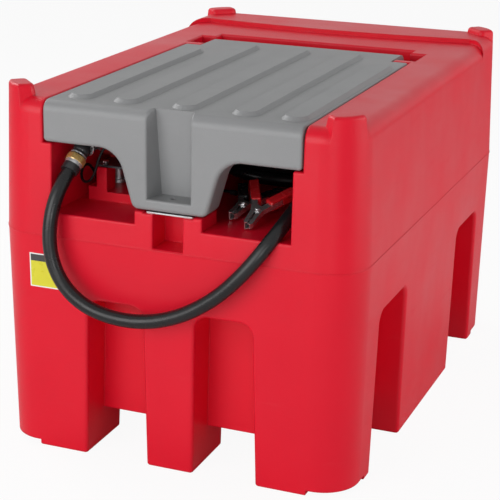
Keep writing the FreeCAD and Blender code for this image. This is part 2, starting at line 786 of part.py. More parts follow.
def route_wire(points, radius_name):
    nodes = [Vector(*p) for p in points]
    edges = []
    start = nodes[0]
    radii = []
    for i in range(1, len(nodes) - 1):
        before = nodes[i] - nodes[i - 1]
        after = nodes[i + 1] - nodes[i]
        turn = before.getAngle(after)
        trim = 0.45 * min(before.Length, after.Length)
        radii.append(trim / math.tan(turn / 2))
        into = Vector(before).normalize()
        out = Vector(after).normalize()
        first = nodes[i] - into * trim
        last = nodes[i] + out * trim
        centre_way = (out - into).normalize()
        half = turn / 2
        radius = trim / math.tan(half)
        middle = nodes[i] + centre_way * (radius / math.cos(half) - radius)
        edges.append(Part.LineSegment(start, first).toShape())
        edges.append(Part.Arc(first, middle, last).toShape())
        start = last
    edges.append(Part.LineSegment(start, nodes[-1]).toShape())
    wire = Part.Wire(edges)
    print(radius_name, "length", round(wire.Length, 1), "radii", [round(r) for r in radii])
    return wire


def tube(points, radius, name):
    wire = route_wire(points, name)
    start = Vector(*points[0])
    along = (Vector(*points[1]) - start).normalize()
    ring = Part.Wire(Part.Circle(start, along, radius).toShape())
    solid = wire.makePipeShell([ring], True, False)
    print(name, "volume ratio", round(solid.Volume / (math.pi * radius ** 2 * wire.Length), 4))
    return solid


def unit(a, b):
    return (Vector(*b) - Vector(*a)).normalize()


def ring_solid(centre, low, high, inner, outer):
    base = Vector(centre[0], centre[1], low)
    return Part.makeCylinder(outer, high - low, base).cut(Part.makeCylinder(inner, high - low, base))


def hexagon(across, length, base, direction):
    radius = across / math.sqrt(3)
    points = [Vector(radius * math.cos(math.radians(60 * i)), radius * math.sin(math.radians(60 * i)), 0)
              for i in range(7)]
    solid = Part.Face(Part.makePolygon(points)).extrude(Vector(0, 0, length))
    solid.Placement = Placement(Vector(*base), Rotation(Vector(0, 0, 1), Vector(*direction)))
    return solid


def sleeve(outer, inner, start, direction, length):
    solid = cyl(outer, length, start, direction)
    return solid.cut(cyl(inner, length, start, direction))


hose_way = unit(hose_points[0], hose_points[1])
hose_start = Vector(*hose_points[0])
elbow_centre = hose_start - hose_way * elbow_reach
port_x = elbow_centre.x
outlet_height = elbow_centre.z


def outlet_parts():
    parts = {}
    pipe_start = pump_axis_y - pump_head_radius
    parts["outlet_pipe"] = cyl(outlet_pipe_radius, pipe_start - outlet_ring_y,
                               (port_x, pipe_start, outlet_height), (0, -1, 0))
    ring_end = outlet_ring_y - outlet_ring_length
    parts["outlet_ring"] = cyl(outlet_ring_radius, outlet_ring_length,
                               (port_x, outlet_ring_y, outlet_height), (0, -1, 0))
    parts["outlet_ring"] = parts["outlet_ring"].makeChamfer(1.2, edges_round(parts["outlet_ring"], outlet_ring_radius))
    neck = cyl(elbow_radius, abs(elbow_centre.y - ring_end), (port_x, ring_end, outlet_height), (0, -1, 0))
    ball = Part.makeSphere(elbow_ball_radius, elbow_centre)
    arm = cyl(elbow_radius, elbow_arm + 1, elbow_centre, hose_way)
    keep = box(port_x - 60, port_x + 60, outlet_ring_y - 120, ring_end, outlet_height - 80, outlet_height + 60)
    elbow = neck.fuse([ball, arm]).common(keep)
    for step in (0.3, 0.75):
        groove_at = elbow_centre + hose_way * (elbow_ball_radius - 3 + step * 4 - 2)
        collar = cyl(elbow_radius + 1.2, 1.5, groove_at - hose_way * 1.5, hose_way)
        elbow = elbow.fuse(collar)
    trim_from = elbow_centre + hose_way * (elbow_arm + 5)
    elbow = elbow.cut(cyl(40, 40, trim_from, hose_way))
    parts["outlet_elbow"] = elbow.fuse(cyl(outlet_pipe_radius, 5, elbow_centre + hose_way * elbow_arm, hose_way))
    nut_start = elbow_centre + hose_way * (elbow_arm + 5)
    nut_length = elbow_reach - elbow_arm - 5 - ferrule_back
    parts["brass_coupling"] = hexagon(coupling_across, nut_length, nut_start, hose_way).common(
        cyl(coupling_across / 2 + 1.6, nut_length, nut_start, hose_way))
    collar_start = hose_start - hose_way * ferrule_back
    ferrule = cyl(ferrule_radius, ferrule_back + ferrule_cover, collar_start, hose_way)
    bore = cyl(hose_radius + hose_fit_gap, ferrule_cover + 1, hose_start, hose_way)
    parts["hose_ferrule"] = ferrule.cut(bore)
    return parts


def edges_round(shape, radius):
    chosen = []
    for edge in shape.Edges:
        if isinstance(edge.Curve, Part.Circle) and abs(edge.Curve.Radius - radius) < EPS:
            chosen.append(edge)
    return chosen


def cord_parts():
    parts = {}
    parts["hose"] = tube(hose_points, hose_radius, "hose")
    low = bay_floor_height
    high = low + hose_coil_layers * 2 * hose_radius
    coil = ring_solid(hose_coil_centre, low, high, hose_coil_radius - hose_radius, hose_coil_radius + hose_radius)
    lead_in = Vector(*hose_points[-1])
    way = unit(hose_points[-2], hose_points[-1])
    coil = coil.fuse(cyl(hose_radius, abs(lead_in.y - hose_coil_centre[1]) * 0.98, lead_in, way))
    parts["hose_coil"] = coil.fuse(tube(hose_tail_points, hose_radius, "hose tail"))
    half = cable_coil_rows * cable_radius
    cable_low = bay_floor_height
    cable_high = cable_low + cable_coil_layers * 2 * cable_radius
    ring = ring_solid(cable_coil_centre, cable_low, cable_high, cable_coil_radius - half, cable_coil_radius + half)
    parts["cable_coil"] = ring
    parts["power_cable"] = tube(cable_points, cable_radius, "power cable").cut(ring)
    tail = tube(cable_tail_points, cable_radius, "cable tail")
    parts["cable_tail"] = tail.cut(parts["cable_coil"])
    end = Vector(*cable_tail_points[-1])
    boot_way = unit(cable_tail_points[-2], cable_tail_points[-1])
    parts["cable_boot"] = cyl(5.4, 14, end, boot_way)
    parts["red_lead"] = tube(red_lead_points, lead_radius, "red lead").cut(parts["cable_boot"])
    parts["black_lead"] = tube(black_lead_points, lead_radius, "black lead").cut(parts["cable_boot"])
    return parts


def placed(shape, start):
    moved = shape.copy()
    moved.Placement = Placement(start, Rotation(Vector(0, 0, 1), -90))
    return moved


def nozzle_parts():
    parts = {}
    ferrule = cyl(ferrule_radius, ferrule_cover + ferrule_back, (-ferrule_cover, 0, 0), (1, 0, 0))
    ferrule = ferrule.cut(cyl(hose_radius + hose_fit_gap, ferrule_cover + 1, (-ferrule_cover - 1, 0, 0), (1, 0, 0)))
    parts["nozzle_ferrule"] = ferrule
    swivel = cyl(12, 17, (ferrule_back, 0, 0), (1, 0, 0)).fuse(cyl(15, 7, (ferrule_back + 5, 0, 0), (1, 0, 0)))
    parts["nozzle_swivel"] = swivel
    body_start = ferrule_back + 17
    barrel = cyl(nozzle_barrel_radius, 78, (body_start, 0, 0), (1, 0, 0))
    barrel = barrel.makeFillet(4, edges_round(barrel, nozzle_barrel_radius))
    boss = cyl(17, 40, (82, -19, 0), (0, 1, 0))
    lug = box(84, 96, 14, 36, -10, 10)
    slot = box(80, 100, 21, 40, -5.2, 5.2)
    body = barrel.fuse([boss, lug]).cut(slot)
    body = body.cut(cyl(trigger_pin_radius + 0.02, 30, (90, 29, -15), (0, 0, 1)))
    parts["nozzle_body"] = body
    parts["trigger_pin"] = cyl(trigger_pin_radius, 22, (90, 29, -11), (0, 0, 1))
    lever = prism([(84, 24, -5), (96, 24, -5), (96, 34, -5), (84, 35, -5), (40, 47, -5), (37, 40, -5), (62, 31, -5)],
                  (0, 0, 10))
    lever = lever.makeFillet(1.5, lever.Edges)
    parts["nozzle_trigger"] = lever.cut(cyl(trigger_pin_radius + trigger_running_gap, 30, (90, 29, -15), (0, 0, 1)))
    t = nozzle_guard_thickness
    far = nozzle_guard_reach
    outline = prism([(24, 12, -7), (24, far - 14, -7), (34, far, -7), (92, far, -7), (104, far - 14, -7), (104, 0, -7),
                     (98, 0, -7), (98, far - 16, -7), (90, far - t, -7), (36, far - t, -7), (24 + t, far - 16, -7),
                     (24 + t, 12, -7)], (0, 0, nozzle_guard_width))
    parts["nozzle_guard"] = outline.cut([cyl(nozzle_barrel_radius, 90, (body_start, 0, 0), (1, 0, 0)), body])
    spout_start = body_start + 78
    points = [(spout_start, 0.0, 0.0), (spout_start + 24, 0.0, 0.0), (spout_start + 46, 3.0, 0.0),
              (spout_start + 66, 10.0, 0.0), (nozzle_length, 20.0, 0.0)]
    outer = tube(points, nozzle_spout_radius, "spout")
    bore = tube(points, nozzle_spout_radius - nozzle_spout_wall, "spout bore")
    parts["nozzle_spout"] = outer.cut(bore)
    start = Vector(*hose_tail_points[-1])
    return {name: placed(shape, start) for name, shape in parts.items()}


# Pump, motor and switch
def pump_parts():
    parts = {}
    plate_low = pillar_height
    plate_top = plate_low + pump_plate_thickness
    plate = box(pump_plate_left_x, pump_plate_right_x, pump_plate_front_y, pump_plate_back_y, plate_low, plate_top)
    plate = upright_edges(plate, (0, 0, 1), 8)
    notch = pump_plate_notch_half
    plate = plate.cut([cyl(notch, pump_plate_thickness, (suction_x, pump_axis_y, plate_low), (0, 0, 1)),
                       box(pump_plate_left_x - 1, suction_x, pump_axis_y - notch, pump_axis_y + notch, plate_low,
                           plate_top)])
    spots = []
    for x in (left_post_x + post_width / 2, right_post_x + post_width / 2):
        for row in post_rows:
            spots.append((x, sum(row) / 2))
    parts["pump_plate"] = plate
    heads = [hexagon(bolt_head_across, bolt_head_height, (x, y, plate_top), (0, 0, 1)) for x, y in spots]
    parts["pump_plate_bolts"] = Part.makeCompound(heads)
    axis = (pump_axis_y, pump_axis_height)
    head_length = pump_head_right_x - pump_head_left_x - 12
    head = cyl(pump_head_radius, head_length, (pump_head_left_x + 12, axis[0], axis[1]), (1, 0, 0))
    head = head.makeFillet(3, edges_round(head, pump_head_radius))
    outlet_neck = cyl(outlet_pipe_radius + 5, pump_head_radius, (port_x, axis[0], outlet_height), (0, -1, 0))
    inlet_neck = cyl(suction_radius + 5, pump_head_radius + 4, (suction_x, axis[0], axis[1]), (0, 0, -1))
    parts["pump_head"] = head.fuse([outlet_neck, inlet_neck])
    cover = cyl(pump_head_radius - 6, 12, (pump_head_left_x, axis[0], axis[1]), (1, 0, 0))
    parts["pump_cover"] = cover.makeChamfer(3, [edges_round(cover, pump_head_radius - 6)[0]])
    screws = []
    for i in range(6):
        angle = math.radians(60 * i + 30)
        y = axis[0] + (cover_screw_circle - 6) * math.cos(angle)
        z = axis[1] + (cover_screw_circle - 6) * math.sin(angle)
        screws.append(cyl(cover_screw_radius, 3, (pump_head_left_x - 3, y, z), (1, 0, 0)))
    parts["pump_cover_screws"] = Part.makeCompound(screws)
    can_length = motor_right_x - pump_head_right_x
    can = cyl(motor_radius, can_length, (pump_head_right_x, axis[0], axis[1]), (1, 0, 0))
    parts["motor_can"] = can
    cap = cyl(motor_radius - 2, motor_cap_length, (motor_right_x, axis[0], axis[1]), (1, 0, 0))
    parts["motor_cap"] = cap.makeFillet(6, [edges_round(cap, motor_radius - 2)[-1]])
    feet = []
    for x in (pump_head_right_x + 22, motor_right_x - 22 - cradle_thickness):
        foot = box(x, x + cradle_thickness, axis[0] - 38, axis[0] + 38, plate_top, axis[1] - 22)
        feet.append(foot.cut(cyl(motor_radius, cradle_thickness, (x, axis[0], axis[1]), (1, 0, 0))))
    parts["motor_cradle"] = Part.makeCompound(feet)
    half = switch_box_size / 2
    box_low = axis[1] + motor_radius - 6
    box_top = axis[1] + motor_radius + switch_box_height
    case = box(switch_box_x - half, switch_box_x + half, axis[0] - half, axis[0] + half, box_low, box_top)
    case = upright_edges(case, (0, 0, 1), 5)
    case = case.cut(cyl(motor_radius, can_length, (pump_head_right_x, axis[0], axis[1]), (1, 0, 0)))
    rocker_half_x = rocker_width / 2
    rocker_half_y = rocker_length / 2
    gap = rocker_gap
    recess = box(switch_box_x - rocker_half_x - gap, switch_box_x + rocker_half_x + gap, axis[0] - rocker_half_y - 2.5,
                 axis[0] + rocker_half_y + 2.5, box_top - 9, box_top + 1)
    parts["switch_box"] = case.cut(recess)
    top = box_top + rocker_proud
    low = box_top - 5
    rocker = prism([(switch_box_x - rocker_half_x, axis[0] - rocker_half_y, low),
                    (switch_box_x - rocker_half_x, axis[0] + rocker_half_y, low),
                    (switch_box_x - rocker_half_x, axis[0] + rocker_half_y, box_top + 1),
                    (switch_box_x - rocker_half_x, axis[0], box_top + 1),
                    (switch_box_x - rocker_half_x, axis[0] - rocker_half_y, top)], (rocker_width, 0, 0))
    parts["switch_rocker"] = rocker
    gland_y = cable_points[0][1]
    front = axis[0] - half
    gland_at = (cable_points[0][0], front, cable_points[0][2])
    gland = cyl(gland_radius, 8, gland_at, (0, -1, 0))
    gland = gland.fuse(cyl(gland_radius - 2, front - gland_y, gland_at, (0, -1, 0)))
    parts["cable_gland"] = gland
    flange_base = plinth_height
    flange_at = (suction_x, axis[0], flange_base)
    flange = cyl(suction_flange_radius, suction_flange_thickness, flange_at, (0, 0, 1))
    tube_top = axis[1] - pump_head_radius - 4
    end = tunnel_height + wall + strainer_floor_gap
    pipe_foot = (suction_x, axis[0], end + strainer_height)
    pipe = cyl(suction_radius, tube_top - end - strainer_height, pipe_foot, (0, 0, 1))
    parts["suction_flange"] = flange.cut(pipe)
    parts["suction_tube"] = pipe
    screws = []
    for i in range(4):
        angle = math.radians(90 * i + 45)
        spot = (suction_x + suction_screw_circle * math.cos(angle), axis[0] + suction_screw_circle * math.sin(angle),
                flange_base + suction_flange_thickness)
        screws.append(cyl(suction_screw_radius, 2.5, spot, (0, 0, 1)))
    parts["suction_flange_screws"] = Part.makeCompound(screws)
    strainer = cyl(strainer_radius, strainer_height, (suction_x, axis[0], end), (0, 0, 1))
    parts["foot_strainer"] = strainer
    return parts


# Filler neck with its cap, hinge pins, hasp and plain sticker
def filler_parts():
    parts = {}
    base = (filler_x, filler_y, bay_floor_height)
    bore = filler_bore_radius
    neck = cyl(bore + filler_wall, filler_neck_height, base, (0, 0, 1))
    neck = neck.fuse(cyl(filler_flange_radius, filler_flange_thickness, base, (0, 0, 1)))
    parts["filler_neck"] = neck.cut(cyl(bore, filler_neck_height, base, (0, 0, 1)))
    rim = bay_floor_height + filler_neck_height
    skirt = filler_cap_height - 5
    cap = cyl(filler_cap_radius, filler_cap_height, (filler_x, filler_y, rim - skirt), (0, 0, 1))
    cap = cap.makeFillet(3, [edges_round(cap, filler_cap_radius)[0]])
    cap = cap.cut(cyl(bore + filler_wall + cap_thread_gap, skirt, (filler_x, filler_y, rim - skirt), (0, 0, 1)))
    flutes = []
    for i in range(16):
        angle = math.radians(22.5 * i)
        flutes.append(cyl(3.5, filler_cap_height + 2, (filler_x + (filler_cap_radius + 1.5) * math.cos(angle),
                                                       filler_y + (filler_cap_radius + 1.5) * math.sin(angle),
                                                       rim - skirt - 1), (0, 0, 1)))
    parts["filler_cap"] = cap.cut(flutes)
    top = rim + filler_cap_height - skirt
    vent = cyl(9, 8, (filler_x, filler_y, top), (0, 0, 1)).fuse(cyl(13, 3, (filler_x, filler_y, top + 8), (0, 0, 1)))
    parts["cap_vent"] = vent
    return parts


def seat_parts():
    parts = {}
    length = hinge_boss_length + (well_half_width - lid_tongue_half_width) + hinge_pin_engagement
    for side, name in ((-1, "hinge_pin_left"), (1, "hinge_pin_right")):
        start = side * (lid_tongue_half_width - hinge_boss_length)
        parts[name] = cyl(hinge_pin_radius, length, (start, hinge_y, hinge_height), (side, 0, 0))
    low = hasp_notch_height
    front = -tank_length / 2 + 10
    plate = box(-hasp_half_width, hasp_half_width, front, front + hasp_depth, low, hasp_top)
    plate = upright_edges(plate, (0, 0, 1), 4)
    plate = plate.cut(cyl(lock_hole_radius, 10, (0, lock_hole_y, low - 1), (0, 0, 1)))
    screws = []
    for x in (-hasp_screw_x, hasp_screw_x):
        y = front + hasp_depth - 10
        cone = Part.makeCone(hasp_screw_radius, hasp_screw_radius * 1.8, hasp_thickness, Vector(x, y, low))
        screws.append(cone)
        plate = plate.cut(cone)
    parts["hasp_plate"] = plate
    parts["hasp_screws"] = Part.makeCompound(screws)
    middle = (sticker_low + sticker_high) / 2
    tilt = math.degrees(math.atan(foot_inset / parting_height))
    face_y = -tank_length / 2 + plan_inset(middle)
    sticker = box(sticker_left_x, sticker_right_x, -sticker_thickness, 0, sticker_low - middle, sticker_high - middle)
    sticker.rotate(Vector(0, 0, 0), Vector(1, 0, 0), tilt)
    sticker.translate(Vector(0, face_y - 0.02, middle))
    parts["plain_sticker"] = sticker
    return parts


def clamp_outline(grow, low, height, shift):
    g = grow
    points = [(-0.4 + g, -52 - g), (-6.5, -54 - g), (-9.5 - g, -47), (-10.5 - g, -14), (-13 - g, 2), (-51 - g, 80),
              (-44, 90 + g), (-36 + g, 87), (-5 + g, 13 + g), (7 + g, 8 + g), (9 + g, 0), (6 + g, -8 - g),
              (-1 + g, -12), (-2.5 + g, -38), (-0.4 + g, -42)]
    return prism([(x + shift, y, low) for x, y in points], (0, 0, height))


def clamp_arm(half, mirrored):
    solid = clamp_outline(0, -half, 2 * half, 0)
    space = clamp_outline(0, -half + clamp_sheet, 2 * (half - clamp_sheet), clamp_sheet + 0.4)
    arm = solid.cut(space)
    if mirrored:
        arm = arm.mirror(Vector(0, 0, 0), Vector(1, 0, 0))
    gap = clamp_run_gap if mirrored else 0.02
    return arm.cut(cyl(clamp_rivet_radius + gap, 40, (0, 0, -20), (0, 0, 1)))


def clamp_grip(half, mirrored):
    half_width = 10.5
    bar = box(-half_width, half_width, 26, 96, -clamp_grip_half, clamp_grip_half)
    bar = bar.makeFillet(4, bar.Edges)
    bar.rotate(Vector(0, 0, 0), Vector(0, 0, 1), clamp_spread)
    bar.translate(Vector(-1.5, 4, 0))
    inner = clamp_outline(clamp_grip_gap, -half - clamp_grip_gap, 2 * (half + clamp_grip_gap), 0)
    grip = bar.cut(inner)
    if mirrored:
        grip = grip.mirror(Vector(0, 0, 0), Vector(1, 0, 0))
    return grip


def clamp_parts(colour, pivot, axis, lateral):
    outer_half = clamp_arm_half
    inner_half = clamp_arm_half - clamp_sheet - clamp_nest_gap
    shapes = {
        "arm_left": clamp_arm(outer_half, False),
        "arm_right": clamp_arm(inner_half, True),
        "grip_left": clamp_grip(outer_half, False),
        "grip_right": clamp_grip(inner_half, True),
    }
    head = clamp_rivet_radius + 1.6
    rivet = cyl(clamp_rivet_radius, 2 * outer_half, (0, 0, -outer_half), (0, 0, 1))
    for low in (-outer_half - 1.6, outer_half):
        rivet = rivet.fuse(cyl(head, 1.6, (0, 0, low), (0, 0, 1)))
    shapes["rivet"] = rivet
    coil_half = inner_half - clamp_sheet - 0.5
    shapes["spring"] = sleeve(clamp_rivet_radius + 2.6, clamp_rivet_radius + 0.4, (0, 0, -coil_half), (0, 0, 1),
                              2 * coil_half)
    y_axis = Vector(*axis).normalize()
    x_axis = Vector(*lateral)
    x_axis = (x_axis - y_axis * x_axis.dot(y_axis)).normalize()
    z_axis = x_axis.cross(y_axis)
    turn = Rotation(x_axis, y_axis, z_axis, "XYZ")
    parts = {}
    for name, shape in shapes.items():
        moved = shape.copy()
        moved.Placement = Placement(Vector(*pivot), turn).multiply(shape.Placement)
        parts[colour + "_clamp_" + name] = moved
    print(colour, "clamp hinge axis", [round(v, 5) for v in z_axis], "pivot", pivot)
    return parts


def tank_body_shape():
    outside, inside = tank_shape()
    body = outside.cut(inside)
    for side in (-1, 1):
        start = side * (well_half_width - 1)
        body = body.cut(cyl(hinge_pin_radius + hinge_pin_clearance, hinge_pin_engagement + 2,
                            (start, hinge_y, hinge_height), (side, 0, 0)))
    body = body.cut(cyl(suction_radius, 80, (suction_x, pump_axis_y, bay_floor_height - 40), (0, 0, 1)))
    body = body.cut(cyl(filler_bore_radius, 60, (filler_x, filler_y, bay_floor_height - 40), (0, 0, 1)))
    return body


def all_parts():
    parts = {"tank_body": tank_body_shape(), "lid": lid_shape()}
    for maker in (seat_parts, pump_parts, outlet_parts, cord_parts, nozzle_parts, filler_parts):
        parts.update(maker())
    parts.update(clamp_parts("red", red_clamp_pivot, red_clamp_axis, red_clamp_lateral))
    parts.update(clamp_parts("black", black_clamp_pivot, black_clamp_axis, black_clamp_lateral))
    for colour in ("red", "black"):
        parts[colour + "_lead"] = parts[colour + "_lead"].cut(parts[colour + "_clamp_grip_left"])
    return parts


if __name__ == "__main__":
    os.makedirs("parts", exist_ok=True)
    for name, shape in all_parts().items():
        shape.exportStep("parts/" + name + ".step")
        print(name, "valid", shape.isValid(), "solids", len(shape.Solids), "volume", round(shape.Volume))
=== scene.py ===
# %% [markdown]
# # A portable diesel tank
# The solids of the tank, its lid, the pump and the nozzle come from the packed
# model. This lesson gives them their finish and adds the soft pieces: the hose,
# the power cable and the leads of the clamps.

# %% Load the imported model
import math

import bmesh
import bpy
from mathutils import Matrix, Vector


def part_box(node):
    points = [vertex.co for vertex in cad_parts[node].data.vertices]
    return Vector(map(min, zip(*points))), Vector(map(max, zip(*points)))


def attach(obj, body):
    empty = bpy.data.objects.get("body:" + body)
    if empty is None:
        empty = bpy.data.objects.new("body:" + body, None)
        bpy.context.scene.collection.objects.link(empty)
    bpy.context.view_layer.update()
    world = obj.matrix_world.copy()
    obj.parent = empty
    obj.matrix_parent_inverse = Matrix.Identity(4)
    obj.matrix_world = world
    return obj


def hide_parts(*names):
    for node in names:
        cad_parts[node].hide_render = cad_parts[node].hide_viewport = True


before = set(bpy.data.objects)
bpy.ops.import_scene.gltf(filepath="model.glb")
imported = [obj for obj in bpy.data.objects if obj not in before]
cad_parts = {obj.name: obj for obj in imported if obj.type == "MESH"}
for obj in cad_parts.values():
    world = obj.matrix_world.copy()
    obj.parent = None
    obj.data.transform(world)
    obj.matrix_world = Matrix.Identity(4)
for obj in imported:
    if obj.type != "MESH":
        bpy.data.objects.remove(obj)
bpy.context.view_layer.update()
print("solids in the model:", len(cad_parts))

# %% [markdown]
# ## Camera
# A long lens from the front right and a little above. Its place and its three
# axes were found by matching the tank's corners, so the frame is exact and no
# shift is needed.

# %% Camera
camera_data = bpy.data.cameras.new("photo_camera")
lens_mm = 108.96
camera_place = (1.2107, -3.1927, 1.4278)
far_clip = 100
camera_data.lens = lens_mm
camera_data.clip_end = far_clip
camera = bpy.data.objects.new("photo_camera", camera_data)
bpy.context.scene.collection.objects.link(camera)
look = Vector((-0.3494, 0.8843, -0.3098)).normalized()
across = Vector((0.9281, 0.3720, 0.0153))
across = (across - look * across.dot(look)).normalized()
upward = across.cross(look)
turn = Matrix((across, upward, -look)).transposed().to_4x4()
camera.matrix_world = Matrix.Translation(camera_place) @ turn
bpy.context.scene.camera = camera
bpy.context.scene.view_settings.view_transform = "Standard"
print("camera stands", round(camera.location.length, 2), "m from the origin")

# %% [markdown]
# ## Light and floor
# Studio light: a broad key from the front left, a weak lamp that reaches into the
# bay, a softer fill from the right and a panel high on the left that grazes the
# bands of the lid. The world is white for the camera, about half as white for
# reflections and dim otherwise. The floor is mixed with plain white for the
# camera, so that just a faint shadow stays.

# %% Lights
def panel(name, place, target, size, power):
    data = bpy.data.lights.new(name, "AREA")
    data.shape = "RECTANGLE"
    data.size, data.size_y = size
    data.energy = power
    lamp = bpy.data.objects.new(name, data)
    lamp.location = place
    lamp.rotation_mode = "QUATERNION"
    lamp.rotation_quaternion = (Vector(target) - Vector(place)).to_track_quat("-Z", "Y")
    bpy.context.scene.collection.objects.link(lamp)
    return lamp


middle = (0.0, 0.0, 0.4)
bay_mouth = (0.0, -0.5, 0.6)
panel("key_panel", (-1.5, -4.2, 1.7), middle, (3.2, 2.8), 98)
panel("bay_panel", (1.5, -3.6, 0.9), bay_mouth, (0.7, 0.7), 15)
panel("fill_panel", (3.8, 0.6, 1.4), middle, (2.6, 2.2), 61)
panel("top_panel", (-2.7, 0.7, 2.7), middle, (1.6, 1.6), 42)

# %% World and floor
ambient_strength = 0.30
reflected_white = 0.55
floor_reach = 30
floor_grey = (0.86, 0.86, 0.86, 1.0)
floor_white_share = 0.93
world = bpy.data.worlds.new("studio")
world.use_nodes = True
bpy.context.scene.world = world
nodes, links = world.node_tree.nodes, world.node_tree.links
nodes.clear()
world_out = nodes.new("ShaderNodeOutputWorld")
dim = nodes.new("ShaderNodeBackground")
dim.inputs["Color"].default_value = (1.0, 1.0, 1.0, 1.0)
dim.inputs["Strength"].default_value = ambient_strength
white = nodes.new("ShaderNodeBackground")
white.inputs["Strength"].default_value = 1.0
white.inputs["Color"].default_value = (1.0, 1.0, 1.0, 1.0)
rays = nodes.new("ShaderNodeLightPath")
seen = nodes.new("ShaderNodeMath")
seen.operation = "ADD"
seen.use_clamp = True
links.new(rays.outputs["Is Camera Ray"], seen.inputs[0])
mirrored = nodes.new("ShaderNodeMath")
mirrored.operation = "MULTIPLY"
mirrored.inputs[1].default_value = reflected_white
links.new(rays.outputs["Is Glossy Ray"], mirrored.inputs[0])
links.new(mirrored.outputs[0], seen.inputs[1])
mixed = nodes.new("ShaderNodeMixShader")
links.new(seen.outputs[0], mixed.inputs[0])
links.new(dim.outputs[0], mixed.inputs[1])
links.new(white.outputs[0], mixed.inputs[2])
links.new(mixed.outputs[0], world_out.inputs["Surface"])

floor_mesh = bpy.data.meshes.new("studio_floor")
sheet = bmesh.new()
bmesh.ops.create_grid(sheet, x_segments=1, y_segments=1, size=floor_reach)
sheet.to_mesh(floor_mesh)
sheet.free()
floor = bpy.data.objects.new("studio_floor", floor_mesh)
bpy.context.scene.collection.objects.link(floor)
floor_paint = bpy.data.materials.new("floor_paint")
floor_paint.use_nodes = True
nodes, links = floor_paint.node_tree.nodes, floor_paint.node_tree.links
nodes.clear()
floor_out = nodes.new("ShaderNodeOutputMaterial")
matt = nodes.new("ShaderNodeBsdfDiffuse")
matt.inputs["Color"].default_value = floor_grey
glow = nodes.new("ShaderNodeEmission")
glow.inputs["Strength"].default_value = 1.0
rays = nodes.new("ShaderNodeLightPath")
share = nodes.new("ShaderNodeMath")
share.operation = "MULTIPLY"
share.inputs[1].default_value = floor_white_share
blend_floor = nodes.new("ShaderNodeMixShader")
links.new(rays.outputs["Is Camera Ray"], share.inputs[0])
links.new(share.outputs[0], blend_floor.inputs[0])
links.new(matt.outputs[0], blend_floor.inputs[1])
links.new(glow.outputs[0], blend_floor.inputs[2])
links.new(blend_floor.outputs[0], floor_out.inputs["Surface"])
floor_mesh.materials.append(floor_paint)
print("floor and four light panels made")

# %% [markdown]
# ## Shared effects
# Moulded plastic, cast metal and rubber are never quite flat: they have a fine
# grain, a slow waviness and slightly softened edges. One node group gives the
# bumped normal and a mask of the slow waviness. A second group gives scuffs, thin
# stretched scratches in patches, as a mask for colour and gloss.

# %% A helper for node groups
def new_group(name, inputs, outputs):
    group = bpy.data.node_groups.new(name, "ShaderNodeTree")
    for label, value in inputs:
        socket = group.interface.new_socket(label, in_out="INPUT", socket_type="NodeSocketFloat")
        socket.default_value = value
    for label, kind in outputs:
        group.interface.new_socket(label, in_out="OUTPUT", socket_type=kind)
    entry = group.nodes.new("NodeGroupInput")
    leave = group.nodes.new("NodeGroupOutput")
    return group, entry, leave


# %% Surface grain group
grain_group, entry, leave = new_group(
    "surface_grain",
    [("Grain Scale", 500.0), ("Grain Depth", 0.0002), ("Wave Scale", 7.0), ("Wave Depth", 0.002),
     ("Edge Radius", 0.0005)],
    [("Normal", "NodeSocketVector"), ("Waves", "NodeSocketFloat")],
)
nodes, links = grain_group.nodes, grain_group.links
place = nodes.new("ShaderNodeTexCoord")
fine = nodes.new("ShaderNodeTexNoise")
fine.inputs["Detail"].default_value = 2.0
fine.inputs["Roughness"].default_value = 0.55
slow = nodes.new("ShaderNodeTexNoise")
slow.inputs["Detail"].default_value = 2.0
soft_edge = nodes.new("ShaderNodeBevel")
edge_samples = 4
soft_edge.samples = edge_samples
first = nodes.new("ShaderNodeBump")
second = nodes.new("ShaderNodeBump")
links.new(place.outputs["Object"], fine.inputs["Vector"])
links.new(place.outputs["Object"], slow.inputs["Vector"])
links.new(entry.outputs["Grain Scale"], fine.inputs["Scale"])
links.new(entry.outputs["Wave Scale"], slow.inputs["Scale"])
links.new(entry.outputs["Edge Radius"], soft_edge.inputs["Radius"])
links.new(soft_edge.outputs["Normal"], first.inputs["Normal"])
links.new(entry.outputs["Wave Depth"], first.inputs["Distance"])
links.new(entry.outputs["Grain Depth"], second.inputs["Distance"])
links.new(slow.outputs["Fac"], first.inputs["Height"])
links.new(fine.outputs["Fac"], second.inputs["Height"])
links.new(first.outputs["Normal"], second.inputs["Normal"])
links.new(second.outputs["Normal"], leave.inputs["Normal"])
links.new(slow.outputs["Fac"], leave.inputs["Waves"])

# %% Scuff group
scuff_group, entry, leave = new_group(
    "scuffs",
    [("Scale", 9.0), ("Amount", 0.3)],
    [("Mask", "NodeSocketFloat")],
)
nodes, links = scuff_group.nodes, scuff_group.links
place = nodes.new("ShaderNodeTexCoord")
stretch = nodes.new("ShaderNodeMapping")
scratch_stretch = (1.0, 1.0, 9.0)
scratch_turn = (0.6, 0.9, 0.3)
stretch.inputs["Scale"].default_value = scratch_stretch
stretch.inputs["Rotation"].default_value = scratch_turn
scratch = nodes.new("ShaderNodeTexNoise")
scratch.inputs["Detail"].default_value = 6.0
scratch.inputs["Roughness"].default_value = 0.7
keep = nodes.new("ShaderNodeMapRange")
keep.inputs["From Min"].default_value = 0.60
keep.inputs["From Max"].default_value = 0.72
patches = nodes.new("ShaderNodeTexNoise")
patches.inputs["Scale"].default_value = 4.0
amount = nodes.new("ShaderNodeMath")
amount.operation = "MULTIPLY"
strength = nodes.new("ShaderNodeMath")
strength.operation = "MULTIPLY"
links.new(place.outputs["Object"], stretch.inputs["Vector"])
links.new(stretch.outputs["Vector"], scratch.inputs["Vector"])
links.new(entry.outputs["Scale"], scratch.inputs["Scale"])
links.new(place.outputs["Object"], patches.inputs["Vector"])
links.new(scratch.outputs["Fac"], keep.inputs["Value"])
links.new(keep.outputs["Result"], amount.inputs[0])
